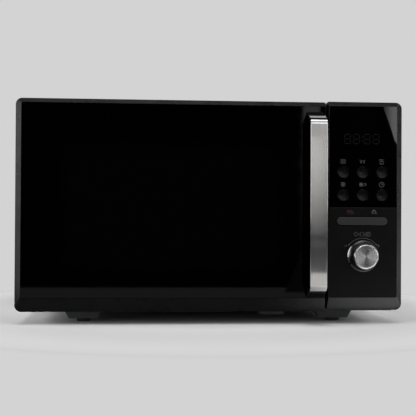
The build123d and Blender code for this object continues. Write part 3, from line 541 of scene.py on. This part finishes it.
def ring_plate(bm, outer_x, outer_z, inner_x, inner_z, y0, y1):
    """A flat rectangular ring between two depths, as a closed band."""
    rows = []
    for y in (y0, y1):
        outer = [bm.verts.new((x, y, z)) for x, z in corners(outer_x, outer_z)]
        inner = [bm.verts.new((x, y, z)) for x, z in corners(inner_x, inner_z)]
        rows.append((outer, inner))
    for i in range(4):
        j = (i + 1) % 4
        for outer, inner in rows:
            bm.faces.new((outer[i], outer[j], inner[j], inner[i]))
        for edge in (0, 1):
            bm.faces.new((rows[0][edge][i], rows[1][edge][i], rows[1][edge][j], rows[0][edge][j]))


def corners(x, z):
    return [(x[0], z[0]), (x[1], z[0]), (x[1], z[1]), (x[0], z[1])]


def perforated(bm, x, z, y0, y1, pitch, radius):
    """A sheet of square cells, each with an eight-sided hole right through."""
    columns = round((x[1] - x[0]) / pitch)
    rows = round((z[1] - z[0]) / pitch)
    step_x, step_z = (x[1] - x[0]) / columns, (z[1] - z[0]) / rows
    rim = [(1, 0), (1, 1), (0, 1), (-1, 1), (-1, 0), (-1, -1), (0, -1), (1, -1)]
    grids = []
    for y in (y0, y1):
        grids.append({})

        def vertex(i, k, y=y, grid=grids[-1]):
            if (i, k) not in grid:
                grid[i, k] = bm.verts.new((x[0] + i * step_x / 2, y, z[0] + k * step_z / 2))
            return grid[i, k]

        for column in range(columns):
            for row in range(rows):
                centre = (x[0] + (column + 0.5) * step_x, z[0] + (row + 0.5) * step_z)
                hole = []
                for side in range(8):
                    angle = side * math.pi / 4
                    point = (centre[0] + radius * math.cos(angle), y, centre[1] + radius * math.sin(angle))
                    hole.append(bm.verts.new(point))
                edge = [vertex(2 * column + 1 + dx, 2 * row + 1 + dz) for dx, dz in rim]
                for side in range(8):
                    after = (side + 1) % 8
                    bm.faces.new((edge[side], edge[after], hole[after], hole[side]))
                grids[-1]["hole", column, row] = hole
    for key, front in grids[0].items():
        if key[0] == "hole":
            back = grids[1][key]
            for side in range(8):
                after = (side + 1) % 8
                bm.faces.new((front[side], front[after], back[after], back[side]))


window_x = (OVEN.x - WINDOW_HALF[0], OVEN.x + WINDOW_HALF[0])
window_z = (WINDOW_Z - WINDOW_HALF[1], WINDOW_Z + WINDOW_HALF[1])
SHEET = 0.8 * MM
HOLE_PITCH, HOLE_R = 3.4 * MM, 1.05 * MM


def door_pan():
    """Steel pan behind the glass: perforated window, flat surround and folded choke wall."""
    x, y, z = (span("door_pan", axis) for axis in "xyz")
    bm = bmesh.new()
    perforated(bm, window_x, window_z, y[0], y[0] + SHEET, HOLE_PITCH, HOLE_R)
    ring_plate(bm, x, z, window_x, window_z, y[0], y[0] + SHEET)
    inner_x, inner_z = (x[0] + SHEET, x[1] - SHEET), (z[0] + SHEET, z[1] - SHEET)
    ring_plate(bm, x, z, inner_x, inner_z, y[0] + SHEET, y[1])
    bmesh.ops.recalc_face_normals(bm, faces=bm.faces)
    mesh = from_bmesh("door_pan_screened", bm)
    pan = placed("door_pan_screened", mesh, "door", "oven_enamel", PAN_ENAMEL)
    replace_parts(pan, "door_pan")


door_pan()

# ---------------------------------------------------------------- screws


def islands(node):
    """Centres of the separate solids of a CAD node."""
    bm = clean_copy(node)
    left = set(bm.verts)
    centres = []
    while left:
        patch, edge = set(), [left.pop()]
        while edge:
            vertex = edge.pop()
            patch.add(vertex)
            for link in vertex.link_edges:
                other = link.other_vert(vertex)
                if other in left:
                    left.remove(other)
                    edge.append(other)
        low = Vector(min(v.co[i] for v in patch) for i in range(3))
        high = Vector(max(v.co[i] for v in patch) for i in range(3))
        centres.append((low + high) / 2)
    bm.free()
    return centres


def lathe(bm, profile, centre, back_y, steps=28):
    """A (radius, depth) profile in millimetres turned about a line along Y; depth runs to +Y."""
    rings = []
    for radius, depth in profile:
        ring = []
        for i in range(steps):
            angle = 2 * math.pi * i / steps
            x, z = radius * MM * math.cos(angle), radius * MM * math.sin(angle)
            ring.append(bm.verts.new((centre.x + x, back_y + depth * MM, centre.z + z)))
        rings.append(ring)
    for lower, upper in zip(rings, rings[1:]):
        for i in range(steps):
            j = (i + 1) % steps
            bm.faces.new((lower[i], lower[j], upper[j], upper[i]))
    bm.faces.new(rings[0])
    bm.faces.new(rings[-1])


HEAD_MM = 2.2  # height of a screw's head


def cabinet_screws():
    """Pan-head screws with a crosshead recess."""
    low, high = span("cabinet_screws", "y")
    head_y = high - HEAD_MM * MM
    shank = [(1.9, (low - head_y) / MM), (1.9, 0.0)]
    dome = [(3.9, 0.0), (4.0, 0.3), (3.9, 0.9), (3.5, 1.5), (2.8, 1.95), (1.6, HEAD_MM)]
    heads, cutter = bmesh.new(), bmesh.new()
    for number, centre in enumerate(islands("cabinet_screws")):
        lathe(heads, shank + dome, centre, head_y)
        for arm in (0, 90):
            turn = Matrix.Rotation(math.radians(arm + 37 * number), 4, "Y")
            place = Matrix.Translation((centre.x, high, centre.z)) @ turn
            size = Matrix.Diagonal((4.4 * MM, 2.4 * MM, 0.85 * MM, 1))
            bmesh.ops.create_cube(cutter, size=1.0, matrix=place @ size)
    bmesh.ops.recalc_face_normals(heads, faces=heads.faces)
    screws = bpy.data.objects.new("screw_blanks", from_bmesh("screw_blanks", heads))
    cross = bpy.data.objects.new("screw_cross", from_bmesh("screw_cross", cutter))
    for blank in (screws, cross):
        bpy.context.scene.collection.objects.link(blank)
    recess = screws.modifiers.new("recess", "BOOLEAN")
    recess.operation = "DIFFERENCE"
    recess.solver = "EXACT"
    recess.use_self = True
    recess.object = cross
    finished = screws.evaluated_get(bpy.context.evaluated_depsgraph_get())
    mesh = bpy.data.meshes.new_from_object(finished)
    mesh.name = "crosshead_screws"
    for blank in (screws, cross):
        bpy.data.objects.remove(blank)
    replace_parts(placed("crosshead_screws", mesh, "cabinet", "screw_steel"), "cabinet_screws")


cabinet_screws()

# ---------------------------------------------------------------- studio


def stage_mesh(name, bm, material):
    mesh = from_bmesh(name, bm)
    piece = bpy.data.objects.new(name, mesh)
    bpy.context.scene.collection.objects.link(piece)
    mesh.materials.append(material)
    return piece


def turned(profile, steps=96):
    """A (radius, height) profile turned about the vertical axis."""
    bm = bmesh.new()
    rings = []
    for radius, height in profile:
        ring = []
        for i in range(steps):
            angle = 2 * math.pi * i / steps
            ring.append(bm.verts.new((radius * math.cos(angle), radius * math.sin(angle), height)))
        rings.append(ring)
    for lower, upper in zip(rings, rings[1:]):
        for i in range(steps):
            j = (i + 1) % steps
            bm.faces.new((lower[i], lower[j], upper[j], upper[i]))
    for face in bm.faces:
        face.smooth = True
    return bm


def card(name, points, material):
    """A flat stage panel through the given points."""
    bm = bmesh.new()
    bm.faces.new([bm.verts.new(point) for point in points])
    return stage_mesh(name, bm, material)


def ramped(recipe, source, socket, start, end, low, high):
    """Drives a shader socket by a factor's smooth run from start to end."""
    ramp = recipe.add("ShaderNodeMapRange", interpolation_type="SMOOTHSTEP")
    recipe.join(source, ramp.inputs["Value"])
    for key, value in (("From Min", start), ("From Max", end), ("To Min", low), ("To Max", high)):
        ramp.inputs[key].default_value = value
    recipe.join(ramp.outputs["Result"], recipe.shader.inputs[socket])


def glow(name, axis, start, end, low, high):
    """A panel's shine, growing from low to high along one axis."""
    recipe = Recipe(name, Base_Color=(0.0, 0.0, 0.0), Specular_IOR_Level=0.0, Emission_Color=(1.0, 1.0, 1.0))
    split = recipe.add("ShaderNodeSeparateXYZ")
    recipe.join(recipe.place, split.inputs["Vector"])
    ramped(recipe, split.outputs[axis], "Emission Strength", start, end, low, high)
    return recipe.material


def even_glow(name, strength):
    """The same shine all over a panel."""
    return glow(name, "X", -1, 1, strength, strength)


def floor_paper():
    """White sweep: lit paper round the object, evenly back-lit further out."""
    recipe = Recipe("floor_paper", Roughness=0.9, Specular_IOR_Level=0.0, Emission_Color=(1.0, 1.0, 1.0))
    distance = recipe.add("ShaderNodeVectorMath", operation="LENGTH")
    recipe.join(recipe.place, distance.inputs[0])
    ramped(recipe, distance.outputs["Value"], "Emission Strength", FADE[0], FADE[1], 0.0, BACKDROP)
    tone = recipe.colours(
        recipe.between(distance.outputs["Value"], 0.0, 1.0, *LIT), (0.0, grey(PAPER)), (1.0, grey(0.0))
    )
    recipe.join(tone, recipe.shader.inputs["Base Color"])
    return recipe.material


BACKDROP = 0.65  # brightness of the background
PAPER = 0.585  # reflectance of the paper under the object
LIT = (0.245, 0.455)  # where the paper's reflectance fades out, metres
FADE = (0.27, 0.48)  # where the even back-light fades in
FLOOR_R, COVE_R, WALL_TOP = 2.2, 1.6, 5.0
rim = [(FLOOR_R * math.cos(a * math.pi / 24), FLOOR_R * math.sin(a * math.pi / 24), 0) for a in range(48)]
card("floor", rim, floor_paper())
turns = [a * math.pi / 24 for a in range(13)]
sweep = [(FLOOR_R + COVE_R * math.sin(a), COVE_R * (1 - math.cos(a))) for a in turns]
wall = (FLOOR_R + COVE_R, WALL_TOP)
cove = stage_mesh("cove", turned([*sweep, wall]), glow("backdrop", "Z", 0, 9, BACKDROP, BACKDROP * 0.98))
for ray in ("visible_diffuse", "visible_glossy", "visible_transmission", "visible_shadow"):
    setattr(cove, ray, False)


def flag(name, points, material):
    """A stage panel that only reflections see."""
    panel = card(name, points, material)
    for ray in ("visible_camera", "visible_diffuse", "visible_transmission", "visible_shadow"):
        setattr(panel, ray, False)


def floor_strip(x, y, height=0.002):
    return [(x[0], y[0], height), (x[1], y[0], height), (x[1], y[1], height), (x[0], y[1], height)]


def upright(x, y, z):
    return [(x[0], y, z[0]), (x[1], y, z[0]), (x[1], y, z[1]), (x[0], y, z[1])]


def beside(x, y, z):
    return [(x, y[0], z[0]), (x, y[1], z[0]), (x, y[1], z[1]), (x, y[0], z[1])]


BLACK = even_glow("black_flag", 0.0)
BEHIND = -2.4  # the panels that the front mirrors stand here, behind the camera
NEAR_EDGE = FACE_Y - 0.571  # the glass mirrors the paper behind this line
SHADE_Y = FACE_Y - 0.012  # behind this line the floor mirrors dark, so the handle's foot stays dark
OVER_FLOOR = 0.004

# Dark room: what the black glass and the lens mirror
flag("floor_flag", floor_strip((-3, 3), (BEHIND, NEAR_EDGE)), BLACK)
flag("front_flag", upright((-1.5, 1.4), BEHIND, (0, 0.62)), BLACK)
flag("ceiling_flag", floor_strip((-1.0, 1.0), (-0.55, 0.9), 1.3), even_glow("ceiling_flag", 0.015))
flag(
    "overhead_card",
    upright((-1.4, 1.4), BEHIND - 0.02, (0.75, 1.5)),
    glow("overhead_card", "Z", 0.7, 1.0, 0.4, 1.6),
)

# Floor close to the front: what the tall chamfer and the handle's foot mirror
flag(
    "near_card",
    floor_strip((-0.6, 0.6), (FACE_Y - 0.22, SHADE_Y)),
    glow("near_card", "X", 0.07, 0.29, 0.05, 1.8),
)
flag("under_flag", floor_strip((-0.6, 0.6), (SHADE_Y, FACE_Y + 0.06)), even_glow("under_flag", 0.022))

# Bright corner on the lens
WEDGE = (
    (0.810, 0.58), (0.819, 0.53), (0.840, 0.478), (0.858, 0.42), (0.880, 0.385), (1.3, 0.385), (1.3, 0.58),
)
wedge_points = [(x, BEHIND + 0.02, z) for x, z in WEDGE]
flag("wedge_card", wedge_points, glow("wedge_card", "X", 0.81, 0.86, 0.4, 2.4))

# Shine of the handle: a slot card in its mirror direction, and the floor strip that leads to it
SLOT_X = (0.518, 0.580)
flag(
    "handle_card",
    upright(SLOT_X, BEHIND + 0.015, (0.02, 0.62)),
    glow("handle_card", "Z", -0.08, 0.42, 0.2, 2.1),
)
HANDLE_STRIP = (
    (SLOT_X[0], BEHIND + 0.02), (SLOT_X[1], BEHIND + 0.02), (0.31, NEAR_EDGE),
    (0.285, FACE_Y - 0.44), (0.165, FACE_Y - 0.44), (0.19, NEAR_EDGE),
)
strip_points = [(x, y, OVER_FLOOR) for x, y in HANDLE_STRIP]
flag("handle_strip", strip_points, glow("handle_strip", "Y", -2.38, -1.4, 0.38, 0.10))

# Cards beside the object: what the side bevels mirror
for side, strength in ((-1, 0.80), (1, 0.06)):
    card_name = f"side_card_{side + 1}"
    points = beside(side * 2.1, (-0.9, 1.6), (0.02, 1.6))
    flag(card_name, points, glow(card_name, "Z", 0.0, 0.35, 0.4, strength))

AMBIENT = 0.5
world = bpy.data.worlds.new("studio")
bpy.context.scene.world = world
world.use_nodes = True
world.node_tree.nodes["Background"].inputs["Color"].default_value = (1, 1, 1, 1)
world.node_tree.nodes["Background"].inputs["Strength"].default_value = AMBIENT


def softbox(name, place, aim, size, power, seen=True):
    """A rectangular lamp; unless seen, reflections leave it out."""
    light = bpy.data.lights.new(name, "AREA")
    light.shape = "RECTANGLE"
    light.size, light.size_y = size
    light.energy = power
    lamp = bpy.data.objects.new(name, light)
    lamp.location = place
    lamp.rotation_euler = (Vector(aim) - Vector(place)).to_track_quat("-Z", "Y").to_euler()
    lamp.visible_glossy = seen
    bpy.context.scene.collection.objects.link(lamp)


softbox("top_softbox", (-0.1, -0.75, 2.5), (0, -0.3, 0), (1.8, 1.2), 41)
softbox("right_softbox", (1.9, -1.0, 0.5), (0, -0.2, 0.05), (1.0, 0.7), 9)
softbox("left_softbox", (-1.9, -1.15, 0.45), (0, -0.2, 0.0), (1.0, 0.7), 11)
softbox("low_left", (-1.2, 0.08, 0.35), (-0.22, -0.15, 0), (0.5, 0.4), 15, False)
softbox("low_right", (1.2, 0.08, 0.35), (0.22, -0.15, 0), (0.5, 0.4), 12, False)

# ---------------------------------------------------------------- camera

STAND_OFF = 1.1493  # from the door glass
CAMERA_X, CAMERA_Z = -0.0963, 0.1359
LENS_MM = 79.84
YAW, PITCH, ROLL = 0.07948, 0.00866, 0.00569  # radians
camera_data = bpy.data.cameras.new("camera")
camera_data.sensor_width = 36.0
camera_data.lens = LENS_MM
camera = bpy.data.objects.new("camera", camera_data)
bpy.context.scene.collection.objects.link(camera)
forward = Vector((math.sin(YAW) * math.cos(PITCH), math.cos(YAW) * math.cos(PITCH), math.sin(PITCH)))
level = Vector((math.cos(YAW), -math.sin(YAW), 0))
above = level.cross(forward)
right = math.cos(ROLL) * level + math.sin(ROLL) * above
above = right.cross(forward)
facing = Matrix((right, above, -forward)).transposed().to_4x4()
camera.matrix_world = Matrix.Translation((CAMERA_X, FACE_Y - STAND_OFF, CAMERA_Z)) @ facing
bpy.context.scene.camera = camera
bpy.context.scene.view_settings.view_transform = "Standard"
